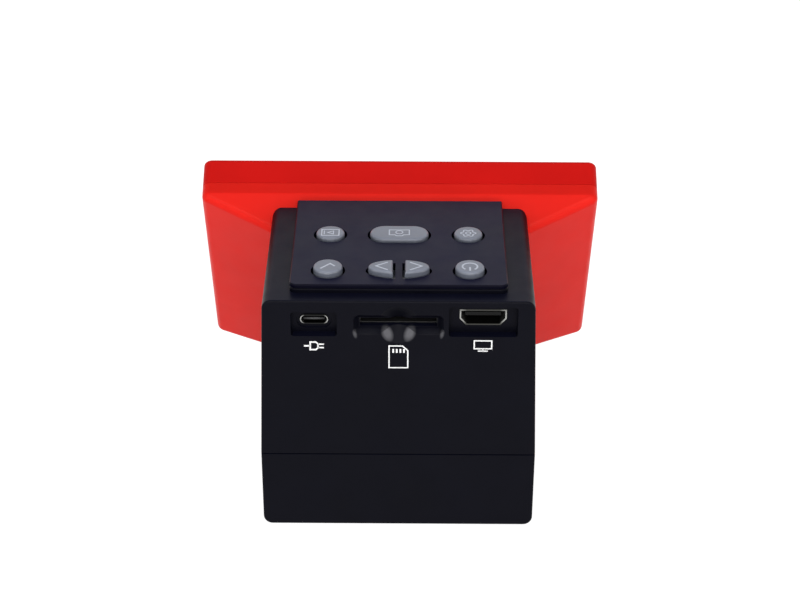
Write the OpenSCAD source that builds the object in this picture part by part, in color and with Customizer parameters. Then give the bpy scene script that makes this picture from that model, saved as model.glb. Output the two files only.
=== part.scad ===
// Film negative and slide scanner: a black box body that carries a red, leaning
// screen housing at the front, seven keys on a raised plate on top, and three
// sockets in the rear face. Film runs sideways through a sliding insert.
// X points to the user's right, Y points from the screen to the rear face, Z is up.
// Depths named *_d or v are measured from the rear face towards the screen.

/* [Body] */
// Width of the body across its top
body_top_w = 87; // [85:0.5:91]
// Width of the body at the seam between its two shells
body_seam_w = 89.9; // [88:0.1:93]
// Width of the body at its underside
body_base_w = 89.5; // [88:0.1:93]
// Height of the body's top above the table
body_h = 85.5; // [84:0.5:92]
// Depth of the flat top from the rear face to the screen housing
deck_d = 66.5; // [65:0.1:72]
// Height of the seam between the upper and the lower shell
seam_z = 28.4; // [27.4:0.2:30]
// Open line left between the two shells
seam_gap = 0.4; // [0.3:0.05:0.8]
// Wall of the two black shells
wall = 2; // [1.6:0.1:2.4]
// Rounding of the upper shell's two long upper edges
upper_r = 3; // [2:0.1:3.4]
// Rounding of the edges around the rear face
rear_edge = 0.6; // [0.4:0.1:1.4]
// Rounding of the lower shell's edges
lower_r = 3; // [2:0.1:4]
// How far the four feet stand out below the lower shell
foot_proud = 0.8; // [0.5:0.1:2]
// Diameter of a foot
foot_dia = 9; // [7:0.5:11]
// Fastening screw thread diameter
screw_dia = 2.6; // [2:0.1:3]

/* [Screen housing] */
// Width of the liquid crystal panel
panel_w = 120; // [112:0.5:128]
// Height of the liquid crystal panel
panel_h = 70; // [63:0.5:72]
// Thickness of the liquid crystal panel
panel_t = 2.9; // [2.4:0.1:3.2]
// How far the cover glass reaches past the panel at each side
glass_side = 3.8; // [3:0.1:5]
// How far the cover glass reaches past the panel at the top and bottom
glass_edge = 3.6; // [2.8:0.05:5]
// Width of the bezel's front around the cover glass
bezel_w = 4.25; // [4:0.05:6]
// Lean of the screen back from upright
tilt = 28; // [26:0.5:29]
// Height of the housing's rear rim above the body's top
rim_rise = 3.2; // [2.6:0.1:4]
// Thickness of the rear shell's straight rim
rim_t = 5.2; // [4.4:0.1:6]
// Thickness of the front bezel
bezel_t = 10.3; // [10.2:0.05:12]
// Open line left between the bezel and the rear shell
bezel_gap = 0.15; // [0.15:0.05:0.5]
// Depth of the tapered back behind the rim
taper_d = 14; // [13:0.2:15]
// How far the housing's flat back stays inside each side of the body
back_inset = 2.63; // [2.4:0.01:4]
// Inset at the top and bottom of the tapered back for each mm of its depth
taper_top = 0.3; // [0.2:0.02:0.4]
// Wall of the screen housing
screen_wall = 2.2; // [1.8:0.1:2.4]
// Corner radius of the bezel
bezel_r = 3; // [2.6:0.1:6]
// Corner radius of the rear shell
rim_r = 3; // [2.6:0.1:3.4]
// Rounding around the bezel's front
bezel_edge = 1.5; // [0.8:0.1:2]
// Thickness of the cover glass
glass_t = 1.1; // [0.8:0.1:1.4]
// How far the glass lies below the bezel's front
glass_sink = 0.4; // [0.2:0.1:0.8]

/* [Keys] */
// Width of the raised key plate
plate_w = 69.7; // [68:0.1:72]
// Distance from the rear face to the key plate
plate_rear = 5.4; // [4.8:0.1:6]
// Thickness of the key plate
plate_t = 1.6; // [1.2:0.1:2]
// Height of the step that the key plate lies on
step_t = 1.4; // [1.2:0.1:2]
// Corner radius of the key plate
plate_r = 2.2; // [1.6:0.1:4]
// Diameter of a round key
key_dia = 9.5; // [8.5:0.1:10]
// Width of the capture key
capture_w = 19.5; // [17:0.1:21]
// Depth of the capture key
capture_dp = 10.2; // [9.5:0.1:11]
// Width of one arrow key
arrow_w = 8; // [7:0.1:8.6]
// Depth of one arrow key
arrow_dp = 9.2; // [8.5:0.1:10]
// Gap between the two arrow keys
arrow_gap = 3.8; // [3.6:0.1:4.2]
// Distance of the outer keys from the middle
key_pitch = 22.8; // [21.6:0.1:23.2]
// Distance of the rear row of keys from the rear face
row_rear_d = 15; // [14.5:0.1:16]
// Distance of the front row of keys from the rear face
row_front_d = 40.5; // [38:0.1:41]
// How far the rear row of keys stands out of the plate
rise_rear = 2; // [1.4:0.1:2.4]
// How far the front row of keys stands out of the plate
rise_front = 1.2; // [1:0.1:2.4]
// Travel of a key
key_travel = 0.5; // [0.3:0.05:0.7]
// Clearance around a key in the plate
key_gap = 0.8; // [0.45:0.05:0.8]
// Rounding of a key's upper edge
key_edge = 1.1; // [0.6:0.1:1.2]

/* [Sockets] */
// Distance of the outer sockets from the middle
socket_x = 27; // [26.6:0.1:27.4]
// Depth of the pockets around the two plug sockets
pocket_d = 3.3; // [3:0.1:3.6]
// Width of the small plug's pocket
usb_pocket_w = 14.7; // [13:0.1:15.5]
// Height of the small plug's pocket
usb_pocket_h = 8.7; // [8:0.1:9.5]
// Width of the video plug's pocket
hdmi_pocket_w = 22; // [20:0.1:22.6]
// Height of the video plug's pocket
hdmi_pocket_h = 10.7; // [10:0.1:11.2]
// Width of the memory card slot
card_slot_w = 25.4; // [25.2:0.1:27]
// Height of the memory card slot
card_slot_h = 3.3; // [2.8:0.1:3.6]
// Radius of the thumb scoop across the card slot
scoop_r = 6.7; // [5.5:0.1:6.8]
// Thickness of the circuit boards
board_t = 1.6; // [1.2:0.1:1.8]

/* [Film path] */
// Distance of the lens axis from the rear face
lens_d = 44; // [43.5:0.1:44.5]
// Width of the film insert
insert_w = 57; // [55:0.5:57]
// Thickness of the film insert
insert_t = 5.2; // [4.6:0.1:5.4]
// Length of the film insert
insert_l = 88; // [84:0.5:88]
// Clearance of the film insert in its slot
insert_gap = 0.5; // [0.3:0.05:0.6]
// Width of the film channel in the insert
film_w = 35.4; // [35.2:0.1:36]
// Height of the film channel in the insert
film_t = 1.2; // [0.8:0.1:1.6]
// Diameter of the lens barrel
barrel_dia = 11; // [10:0.1:11.4]

/* [Hidden] */

$fn = 48;
hull_fn = 32;
eps = 0.01;

shell_black = [0.11, 0.11, 0.12];
plate_black = [0.17, 0.16, 0.18];
key_grey = [0.52, 0.52, 0.54];
housing_red = [0.8, 0.12, 0.1];
board_green = [0.05, 0.3, 0.14];
chip_black = [0.08, 0.08, 0.09];
steel = [0.72, 0.73, 0.75];
ribbon_orange = [0.78, 0.5, 0.16];
tray_white = [0.92, 0.92, 0.9];

glass_w = panel_w + 2 * glass_side;
glass_h = panel_h + 2 * glass_edge;
screen_w = glass_w + 2 * bezel_w;
screen_h = glass_h + 2 * bezel_w;
back_half_w = body_top_w / 2 - back_inset;
taper_side = (screen_w / 2 - back_half_w) / taper_d;
// The rim's upper rear edge lies where the tapered back, carried on from the
// body's top, meets the rear plane of the rim.
taper_run = (cos(tilt) - taper_top * sin(tilt)) / (sin(tilt) + taper_top * cos(tilt));
rim_top_d = deck_d + rim_rise * taper_run;
rim_top_z = body_h + rim_rise;
screen_d = rim_top_d + screen_h / 2 * sin(tilt);
screen_z = rim_top_z - screen_h / 2 * cos(tilt);
front_z = rim_t + bezel_gap + bezel_t;
overall_d = screen_d + (front_z - bezel_edge) * cos(tilt) + (screen_h / 2 - bezel_edge) * sin(tilt)
    + bezel_edge;
rear_y = overall_d / 2;
rim_plane = rim_top_d * cos(tilt) + rim_top_z * sin(tilt);

// Gaps between fixed pieces, and between the body and the housing in it
fit_gap = 0.3;
seat_gap = 0.1;
// Bevel of the groove between the key plate and the step under it
groove = 0.35;
hook_t = 1.2;

// Height of the pieces under the keys, from the roof of the step downwards
roof_t = 1;
flange_t = 0.8;
flange_lip = 0.75;
stem_l = 0.85;
stem_r = 1.5;
plunger_r = 1;
plunger_gap = 0.05;
switch_w = 4.6;
switch_h = 1.2;
key_board_t = 1;
step_top = body_h + step_t;
plate_top = step_top + plate_t;
roof_z = step_top - roof_t;
flange_top = roof_z - seat_gap;
key_bottom = flange_top - flange_t - stem_l;
switch_top = key_bottom - plunger_gap - key_travel;
key_board_top = switch_top - switch_h;
key_board_low = key_board_top - key_board_t;
plunger_h = 1;

// Sockets stand on the main board, just under the key board
board_clear = 0.5;
hdmi_w = 15;
hdmi_h = 5.6;
hdmi_l = 10.2;
usb_w = 8.94;
usb_h = 3.26;
usb_l = 8.6;
socket_lift = 0.12;
card_body_w = 28.4;
card_body_l = 27;
card_body_h = 3.2;
card_w = 24.4;
card_t = 2.3;
sheet_t = 0.3;
main_top = key_board_low - board_clear - hdmi_h;
main_low = main_top - board_t;
hdmi_z = main_top + hdmi_h / 2;
usb_z = main_top + socket_lift + usb_h / 2;
card_z = main_top + card_body_h / 2;
socket_face = pocket_d + 0.05;
// The frame behind the rear wall that carries the floors of the three pockets
tub_wall = 1.2;
frame_d = pocket_d + tub_wall;
frame_top = hdmi_z + hdmi_pocket_h / 2 + 0.65;
frame_low = card_z - scoop_r - 1.5;
board_rear = frame_d + fit_gap;
board_front = row_rear_d + 17;
board_half_w = body_top_w / 2 - 3.5;
main_post_x = board_half_w - 2.6;
main_post_rear = 7.2;
main_post_front = 28.5;
post_r = 2.4;

// Film path: the insert runs on two rails just above the seam
rail_top = seam_z - seam_gap / 2;
insert_low = rail_top + 0.15;
insert_top = insert_low + insert_t;
slot_half = insert_w / 2 + insert_gap;
slot_top = insert_top + insert_gap;
lens_y = rear_y - lens_d;

// Camera stack above the film
flange_low = slot_top + seat_gap;
tower_flange_t = 1.6;
tower_low = flange_low + tower_flange_t;
tower_top = main_low - 11.8;
holder_h = 8.2;
camera_low = tower_top + holder_h;
camera_t = 1;
ledge_low = tower_low + seat_gap;
ledge_h = 3;
tower_wall = 2;
flange_x = body_top_w / 2 - 2.5;
ledge_x = flange_x - 3.2;
frame_l = 37;
frame_w = film_w - 10;

// Backlight in the lower shell
floor_z = foot_proud + wall;
box_half_x = 31;
box_half_d = 25;
box_wall = 1.5;
diffuser_t = 2;
diffuser_top = rail_top - 0.3;
box_top = diffuser_top - diffuser_t;
light_board_t = 1.2;
led_h = 0.8;

// Screws: a shaft turns in a clearance hole and ends in a narrower pilot hole
shaft_r = screw_dia / 2;
clear_r = shaft_r + 0.3;
pilot_r = shaft_r + 0.05;
head_r = screw_dia;
head_h = 1.6;
small_r = 1;
small_head_r = 1.9;
small_head_h = 1.2;

body_post_x = 37.3;
body_post_rear = 8.3;
body_post_front = lens_d + slot_half + 4.6;
body_post_r = 4.1;
body_boss_h = 5.4;
head_seat = foot_proud + 4.5;
screen_post_x = back_half_w - 5.27;
screen_post_r = 3;
screen_post_l = 8;
screen_post_high = screen_h * 0.244;
screen_post_low = -screen_h * 0.049;

function body_half_w(z) = z > seam_z
    ? body_top_w / 2 + (body_seam_w - body_top_w) / 2 * (body_h - z) / (body_h - seam_z)
    : body_base_w / 2 + (body_seam_w - body_base_w) / 2 * z / seam_z;
// Depth from the rear face of a plane that lies a given way behind the rim
function lean_d(z, back) = (rim_plane - back - z * sin(tilt)) / cos(tilt);

// A box given by its faces: x, depth from the rear face, and height
module block(x, d, z) {
    translate([x[0], rear_y - d[1], z[0]]) cube([x[1] - x[0], d[1] - d[0], z[1] - z[0]]);
}
// Moves its children to a point given by x, depth from the rear face and height
module at(x, d, z) {
    translate([x, rear_y - d, z]) children();
}
// The screen's own frame: y runs up the screen and z towards the user
module screen_frame() {
    at(0, screen_d, screen_z) rotate([90 - tilt, 0, 0]) children();
}
// Turns an outline drawn in x and height so that it runs in from the rear face
module from_rear(d, length) {
    translate([0, rear_y - d, 0]) rotate([90, 0, 0]) linear_extrude(length) children();
}
module bowl(r, fn = hull_fn) {
    rotate_extrude($fn = fn) intersection() {
        circle(r, $fn = fn);
        translate([0, -r - 1]) square(r + 1);
    }
}
// A plate with rounded corners, centred in x and y, from z = 0 up
module rounded_plate(w, h, t, r) {
    translate([-w / 2, -h / 2 + r, 0]) cube([w, h - 2 * r, t]);
    translate([-w / 2 + r, -h / 2, 0]) cube([w - 2 * r, h, t]);
    for (sx = [-1, 1], sy = [-1, 1])
        translate([sx * (w / 2 - r), sy * (h / 2 - r), 0]) cylinder(t, r = r);
}
// Outline with two round ends
module stadium(w, h) {
    translate([-(w - h) / 2, -h / 2]) square([w - h, h]);
    for (s = [-1, 1]) translate([s * (w - h) / 2, 0]) circle(h / 2);
}
// Outline of the video socket: upright sides, then both lower corners cut
module video_outline(grow) {
    half = hdmi_w / 2 + grow;
    top = hdmi_h / 2 + grow;
    low_half = hdmi_w * 0.365 + grow * 0.6;
    bend = hdmi_h * 0.08 + grow * 0.4;
    polygon([[-half, top], [half, top], [half, -bend], [low_half, -top],
        [-low_half, -top], [-half, -bend]]);
}
// A screw with its head's bearing face at z = 0 and its shaft pointing up
module screw(r, length, hr, hh) {
    cylinder(length, r = r, $fn = 24);
    translate([0, 0, -hh]) cylinder(hh, r = hr, $fn = 24);
}

// ---- The two black shells ----

// A disc that lies along a long edge, its rim rounded towards the rear face
module edge_disc(r) {
    rotate([90, 0, 0]) rotate_extrude($fn = hull_fn) {
        translate([0, rear_edge]) square([r, eps]);
        square([r - rear_edge, rear_edge + eps]);
        intersection() {
            translate([r - rear_edge, rear_edge]) circle(rear_edge, $fn = hull_fn);
            square(r);
        }
    }
}
// Outer form of the upper shell, carried on into the screen housing's space
module upper_form() {
    low = seam_z + seam_gap / 2;
    hull() for (s = [-1, 1]) {
        at(s * (body_top_w / 2 - upper_r), 0, body_h - upper_r) edge_disc(upper_r);
        at(s * (body_top_w / 2 - upper_r), lean_d(body_h, 1), body_h - upper_r)
            rotate([90, 0, 0]) cylinder(eps, r = upper_r, $fn = hull_fn);
        for (d = [rear_edge, lean_d(low, 1)])
            at(s * (body_seam_w / 2 - rear_edge), d, low) cylinder(eps, r = rear_edge, $fn = hull_fn);
    }
}
module upper_cavity() {
    hull() {
        block([-body_seam_w / 2 + wall, body_seam_w / 2 - wall], [wall, lean_d(seam_z, -20)],
            [seam_z - 1, seam_z]);
        block([-body_top_w / 2 + wall, body_top_w / 2 - wall], [wall, lean_d(body_h, -20)],
            [body_h - wall - eps, body_h - wall]);
    }
}
module lower_form() {
    high = seam_z - seam_gap / 2;
    low = foot_proud + lower_r;
    hull() for (s = [-1, 1]) {
        at(s * (body_seam_w / 2 - rear_edge), rear_edge, high - eps)
            cylinder(eps, r = rear_edge, $fn = hull_fn);
        at(s * (body_seam_w / 2 - lower_r), lean_d(high, 10) - lower_r, high - eps)
            cylinder(eps, r = lower_r, $fn = hull_fn);
        at(s * (body_base_w / 2 - lower_r), 0, low) edge_disc(lower_r);
        at(s * (body_base_w / 2 - lower_r), lean_d(low, 10) - lower_r, low) bowl(lower_r);
    }
}
module lower_cavity() {
    inner_w = body_base_w / 2 - wall;
    hull() {
        block([-inner_w, inner_w], [wall, lean_d(floor_z, 10 + wall)], [floor_z, floor_z + eps]);
        block([-inner_w, inner_w], [wall, lean_d(seam_z + 1, 10 + wall)], [seam_z, seam_z + 1]);
    }
}
// Outer form of the red rear shell, grown by a gap, up to a given height
module rear_shell_form(grow, high) {
    half_w = screen_w / 2 - rim_r;
    half_h = screen_h / 2 - rim_r;
    back = taper_d - rim_r;
    r = rim_r + grow;
    hull() for (sx = [-1, 1], sy = [-1, 1]) {
        translate([sx * half_w, sy * half_h, rim_r / 2]) {
            bowl(r);
            cylinder(high - rim_r / 2, r = r, $fn = hull_fn);
        }
        translate([sx * (half_w - taper_side * taper_d), sy * (half_h - taper_top * taper_d), -back])
            bowl(r);
    }
}
// Both plug pockets, cut in from the rear face
module plug_pockets() {
    corner = 1;
    translate([socket_x, rear_y + 1, usb_z]) rotate([90, 0, 0])
        rounded_plate(usb_pocket_w, usb_pocket_h, pocket_d + 1, corner, $fn = 24);
    translate([-socket_x, rear_y + 1, hdmi_z]) rotate([90, 0, 0])
        rounded_plate(hdmi_pocket_w, hdmi_pocket_h, pocket_d + 1, corner, $fn = 24);
}
// Hole above a key's flange: the key's outline, grown by a gap
module key_outline(kind, grow) {
    if (kind == "round") circle(key_dia / 2 + grow);
    if (kind == "capture") stadium(capture_w + 2 * grow, capture_dp + 2 * grow);
    if (kind == "right") arrow_outline(grow);
    if (kind == "left") mirror([1, 0]) arrow_outline(grow);
}
// Half an ellipse with a flat side by the middle, drawn to the right of it
module arrow_outline(grow) {
    flat = arrow_gap / 2 - grow;
    long = arrow_gap / 2 + arrow_w + grow;
    short = arrow_dp / 2 + grow;
    turn = acos(flat / long);
    steps = 28;
    polygon([for (i = [0:steps]) let (a = -turn + 2 * turn * i / steps)
        [long * cos(a), short * sin(a)]]);
}
// Every key as [kind, x, distance from the rear face, rise above the plate]
keys = [["round", key_pitch, row_front_d, rise_front], ["capture", 0, row_front_d, rise_front],
    ["round", -key_pitch, row_front_d, rise_front], ["round", key_pitch, row_rear_d, rise_rear],
    ["right", 0, row_rear_d, rise_rear], ["left", 0, row_rear_d, rise_rear],
    ["round", -key_pitch, row_rear_d, rise_rear]];
// Middle of a key's stem: an arrow key's stem stands in the middle of its half
function stem_x(k) = keys[k][0] == "right" ? arrow_gap / 2 + arrow_w * 0.44
    : keys[k][0] == "left" ? -arrow_gap / 2 - arrow_w * 0.44 : keys[k][1];

module key_holes(low, high) {
    for (k = keys) at(k[1], k[2], low) linear_extrude(high - low) key_outline(k[0], key_gap);
}
// How far the plate and the step under it reach towards the screen
plate_far = deck_d + 0.2;
step_far = deck_d - 0.4;
// Outline of the key plate: round corners to the rear, square ones by the screen
module plate_outline(inset, far) {
    half = plate_w / 2 - inset;
    near = plate_rear + inset;
    r = plate_r - inset;
    translate([-half, -far]) square([2 * half, far - near - r]);
    translate([r - half, -far]) square([2 * (half - r), far - near]);
    for (s = [-1, 1]) translate([s * (half - r), -near - r]) circle(r, $fn = hull_fn);
}
hollow_half = plate_w / 2 - 3;
hollow_rear = plate_rear + 2.2;
hollow_front = row_front_d + key_dia / 2 + 3.6;
skirt_t = 1.3;
skirt_half = hollow_half + skirt_t;
frame_left = -socket_x - hdmi_pocket_w / 2 - tub_wall;
frame_right = socket_x + usb_pocket_w / 2 + tub_wall;

module body_post(x, d, low, high) {
    at(x, d, low) cylinder(high - low, r = body_post_r);
}
module body_post_places() {
    for (s = [-1, 1], d = [body_post_rear, body_post_front]) at(s * body_post_x, d, 0) children();
}
module main_post_places() {
    for (s = [-1, 1], d = [main_post_rear, main_post_front]) at(s * main_post_x, d, 0) children();
}
module ledge_places() {
    for (s = [-1, 1], o = [-14, 14]) at(s * ledge_x, lens_d + o, 0) children();
}
module screen_post_places() {
    screen_frame() for (s = [-1, 1], y = [screen_post_low, screen_post_high])
        translate([s * screen_post_x, y, -taper_d]) children();
}
key_post_x = hollow_half - 3.6;
module key_post_places() {
    for (s = [-1, 1]) {
        at(s * key_post_x, (row_rear_d + row_front_d) / 2, 0) children();
        at(s * (hollow_half - 2.2), hollow_front - 2.4, 0) children();
    }
}

module upper_shell() {
    low = seam_z + seam_gap / 2;
    side = body_half_w(low);
    color(shell_black) difference() {
        union() {
            difference() {
                upper_form();
                upper_cavity();
                // Way through the deck for the frame under the key plate
                block([-skirt_half, skirt_half], [hollow_rear - skirt_t, hollow_front + skirt_t],
                    [body_h - wall - 1, body_h + 1]);
                // Relief over the socket frame
                block([frame_left - fit_gap, frame_right + fit_gap], [wall, frame_d + fit_gap / 2],
                    [body_h - wall - 1, frame_top + 0.05]);
            }
            // Bosses over the lower shell's posts, tied to the side walls
            for (s = [-1, 1], d = [body_post_rear, body_post_front]) {
                body_post(s * body_post_x, d, low, low + body_boss_h);
                block([s * body_post_x - (s < 0 ? side - body_post_x - 1 : 0),
                    s * body_post_x + (s > 0 ? side - body_post_x - 1 : 0)], [d - 1, d + 1],
                    [low, low + body_boss_h]);
            }
            // Posts that hold the main board under the deck
            main_post_places() translate([0, 0, main_top])
                cylinder(body_h - wall - main_top + 0.5, r = post_r, $fn = 24);
            // Ledges that the camera tower hangs from
            for (s = [-1, 1], o = [-14, 14])
                block(s > 0 ? [ledge_x - 2.8, side - 1] : [-side + 1, -ledge_x + 2.8],
                    [lens_d + o - 3, lens_d + o + 3], [ledge_low, ledge_low + ledge_h]);
            // Posts that the screen housing is screwed to, tied to the side walls
            intersection() {
                screen_post_places() translate([0, 0, -screen_post_l]) {
                    cylinder(screen_post_l, r = screen_post_r, $fn = 24);
                    for (s = [-1, 1]) translate([s > 0 ? 0 : -10, -1, 0]) cube([10, 2, screen_post_l]);
                }
                union() {
                    for (s = [-1, 1]) block(s > 0 ? [screen_post_x - screen_post_r, side - 1.6]
                        : [-side + 1.6, -screen_post_x + screen_post_r], [40, 100], [30, 80]);
                }
            }
        }
        plug_pockets();
        card_mouth();
        // Slot for the film insert through both sides
        block([-60, 60], [lens_d - slot_half, lens_d + slot_half], [seam_z - 1, slot_top]);
        body_post_places() translate([0, 0, low - 1])
            cylinder(body_boss_h - 0.4, r = pilot_r, $fn = 24);
        main_post_places() translate([0, 0, main_top - 1]) cylinder(6, r = small_r + 0.05, $fn = 16);
        ledge_places() translate([0, 0, ledge_low - 1]) cylinder(3.2, r = small_r + 0.05, $fn = 16);
        screen_post_places() translate([0, 0, -screen_post_l + 1])
            cylinder(screen_post_l + 1, r = pilot_r, $fn = 24);
        screen_frame() rear_shell_form(fit_gap, 40);
    }
}
// Frame under the key plate: it shows as a step, and its skirt sits in the deck
module key_frame() {
    gap = seat_gap;
    color(shell_black) difference() {
        union() {
            // Step under the key plate, bevelled so that a groove shows
            at(0, 0, body_h) hull() {
                linear_extrude(step_t - groove) plate_outline(0, step_far);
                linear_extrude(step_t) plate_outline(groove, step_far);
            }
            difference() {
                block([gap - skirt_half, skirt_half - gap],
                    [hollow_rear - skirt_t + gap, hollow_front + skirt_t - gap],
                    [body_h - wall, body_h + eps]);
                block([-hollow_half, hollow_half], [hollow_rear, hollow_front],
                    [body_h - wall - 1, body_h + 1]);
            }
            // Posts that hold the key board
            key_post_places() translate([0, 0, key_board_top])
                cylinder(roof_z - key_board_top + 0.3, r = 1.9, $fn = 24);
        }
        // Room under the step for the keys' flanges, around the posts
        difference() {
            block([-hollow_half, hollow_half], [hollow_rear, hollow_front],
                [body_h - wall - 1, roof_z]);
            key_post_places() translate([0, 0, key_board_top]) cylinder(6, r = 1.9, $fn = 24);
        }
        key_holes(roof_z - 1, step_top + 1);
        key_post_places() translate([0, 0, key_board_top - 1]) cylinder(2.6, r = 0.75, $fn = 16);
    }
}
// Frame behind the rear wall with the floors of the pockets and the card slot
module socket_frame() {
    color(shell_black) difference() {
        block([frame_left, frame_right], [wall, frame_d], [frame_low, frame_top]);
        plug_pockets();
        translate([socket_x, 0, usb_z]) {
            from_rear(0, frame_d + 1) stadium(usb_w + 0.3, usb_h + 0.3);
            from_rear(0, pocket_d + 0.5) stadium(usb_w + 2.4, usb_h + 2.6);
        }
        translate([-socket_x, 0, hdmi_z]) from_rear(0, frame_d + 1) video_outline(0.15);
        card_mouth();
    }
}
// Slot for a memory card: a bevelled mouth with round corners, and a thumb scoop
module card_mouth() {
    mouth_w = card_slot_w + 3.4;
    mouth_top = card_slot_h / 2 + 1.9;
    mouth_low = card_slot_h / 2 + 1.5;
    mouth_d = 2.2;
    corner = 1.9;
    hull() {
        for (s = [-1, 1], z = [mouth_top - corner, corner - mouth_low])
            translate([s * (mouth_w / 2 - corner), rear_y + eps, card_z + z]) rotate([90, 0, 0])
                cylinder(eps, r = corner, $fn = 24);
        translate([0, 0, card_z]) from_rear(mouth_d, eps)
            square([card_slot_w, card_slot_h], center = true);
    }
    translate([0, 0, card_z]) from_rear(mouth_d - eps, frame_d)
        square([card_slot_w - 0.6, card_slot_h - 0.4], center = true);
    translate([0, rear_y + eps, card_z + 0.1]) rotate([90, 0, 0])
        cylinder(pocket_d, r1 = scoop_r, r2 = card_slot_h / 2 - 0.2);
}
module lower_shell() {
    high = seam_z - seam_gap / 2;
    inner_w = body_base_w / 2 - wall;
    color(shell_black) difference() {
        union() {
            difference() {
                lower_form();
                lower_cavity();
            }
            // Screw posts, and the two rails that the film insert runs on
            for (s = [-1, 1], d = [body_post_rear, body_post_front])
                body_post(s * body_post_x, d, foot_proud + 1, high);
            for (s = [-1, 1]) {
                rail = lens_d + s * (slot_half - 1.6);
                block([-inner_w - 0.5, inner_w + 0.5], [rail - 1, rail + 1], [floor_z - 0.5, rail_top]);
            }
            // Ribs that locate the light box
            for (s = [-1, 1]) block(s > 0 ? [box_half_x + 0.2, box_half_x + 1.8]
                : [-box_half_x - 1.8, -box_half_x - 0.2],
                [lens_d - box_half_d, lens_d + box_half_d], [floor_z - 0.5, floor_z + 8]);
        }
        body_post_places() translate([0, 0, foot_proud - 1]) cylinder(seam_z + 2, r = clear_r);
        body_post_places() translate([0, 0, foot_proud - 1])
            cylinder(head_seat - foot_proud + 1, r = head_r + 0.4);
        foot_places() translate([0, 0, foot_proud - 1]) cylinder(1.8, r = foot_dia / 2 + 0.1);
        screen_frame() rear_shell_form(fit_gap, 40);
    }
}
foot_x = 33;
foot_rear = 20;
module foot_places() {
    for (s = [-1, 1], d = [foot_rear, lean_d(foot_proud, 10) - 12]) at(s * foot_x, d, 0) children();
}
module feet() {
    color("dimgray") foot_places() cylinder(foot_proud + 0.8, r = foot_dia / 2);
}

// ---- Keys and the plate they stand in ----

module key_plate() {
    edge = 0.35;
    color(plate_black) difference() {
        at(0, 0, step_top) hull() {
            linear_extrude(plate_t) plate_outline(edge, plate_far - edge);
            translate([0, 0, groove]) linear_extrude(plate_t - edge - groove)
                plate_outline(0, plate_far);
        }
        key_holes(step_top - 1, plate_top + 1);
    }
}
// Flange below the roof and the short stem that presses the switch
module key_foot(k) {
    at(keys[k][1], keys[k][2], flange_top - flange_t)
        linear_extrude(flange_t) key_outline(keys[k][0], key_gap + flange_lip);
    at(stem_x(k), keys[k][2], key_bottom) cylinder(stem_l + eps, r = stem_r);
}
// Side profile of a key's rounded top, from its axis outwards
module key_profile(r, h, edge) {
    square([r, h - edge]);
    square([r - edge, h]);
    translate([r - edge, h - edge]) circle(edge);
}
module round_key(k) {
    h = plate_top + keys[k][3] - flange_top + eps;
    color(key_grey) union() {
        key_foot(k);
        at(keys[k][1], keys[k][2], flange_top - eps) rotate_extrude() intersection() {
            key_profile(key_dia / 2, h, key_edge);
            square([key_dia, h + 1]);
        }
    }
}
module capture_key() {
    h = plate_top + rise_front - flange_top + eps;
    r = capture_dp / 2;
    run = capture_w - capture_dp;
    color(key_grey) union() {
        key_foot(1);
        for (s = [-1, 1]) at(s * run / 2, row_front_d, flange_top - eps) rotate_extrude() intersection() {
            key_profile(r, h, key_edge);
            square([capture_dp, h + 1]);
        }
        at(-run / 2, row_front_d, flange_top - eps) rotate([90, 0, 90]) linear_extrude(run) {
            key_profile(r, h, key_edge);
            mirror([1, 0]) key_profile(r, h, key_edge);
        }
    }
}
// An arrow key: its outline drawn in step by step over a rounded edge
module arrow_key(k) {
    h = plate_top + keys[k][3] - flange_top;
    edge = key_edge;
    color(key_grey) union() {
        key_foot(k);
        at(0, row_rear_d, flange_top) hull() for (a = [0:15:90])
            translate([0, 0, a == 0 ? -eps : h - edge + edge * sin(a)])
                linear_extrude(a == 0 ? h - edge : eps) key_outline(keys[k][0], edge * (cos(a) - 1));
    }
}
module playback_key() round_key(0);
module settings_key() round_key(2);
module confirm_key() round_key(3);
module right_key() arrow_key(4);
module left_key() arrow_key(5);
module power_key() round_key(6);

module plunger(k) {
    color("gainsboro") at(stem_x(k), keys[k][2], key_bottom - plunger_gap - plunger_h)
        cylinder(plunger_h, r = plunger_r);
}
module playback_plunger() plunger(0);
module capture_plunger() plunger(1);
module settings_plunger() plunger(2);
module confirm_plunger() plunger(3);
module right_plunger() plunger(4);
module left_plunger() plunger(5);
module power_plunger() plunger(6);

module key_switches() {
    color(chip_black) for (k = [0:6]) at(stem_x(k), keys[k][2], key_board_top) difference() {
        translate([-switch_w / 2, -switch_w / 2, 0]) cube([switch_w, switch_w, switch_h]);
        translate([0, 0, switch_h - plunger_h - 0.05]) cylinder(plunger_h + 1, r = plunger_r + 0.08);
    }
}
module key_board() {
    color(board_green) difference() {
        block([-hollow_half + 1, hollow_half - 1], [hollow_rear + 1, hollow_front - 1],
            [key_board_low, key_board_top]);
        key_post_places() translate([0, 0, key_board_low - 1]) cylinder(4, r = 1);
    }
}
ribbon_t = 0.3;
ribbon_w = 14;
ribbon_x = 18;
ribbon_up = 11;
// The keys' ribbon stands beside the middle post
key_ribbon_w = 9;
key_ribbon_gap = 3.25;
key_ribbon_d = 28;
key_ribbon_x = key_post_x - key_ribbon_gap;
module key_ribbon() {
    color(ribbon_orange) block([key_ribbon_x - key_ribbon_w, key_ribbon_x],
        [key_ribbon_d, key_ribbon_d + ribbon_t], [main_top, key_board_low]);
}

// ---- Main board and the sockets on it ----

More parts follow.
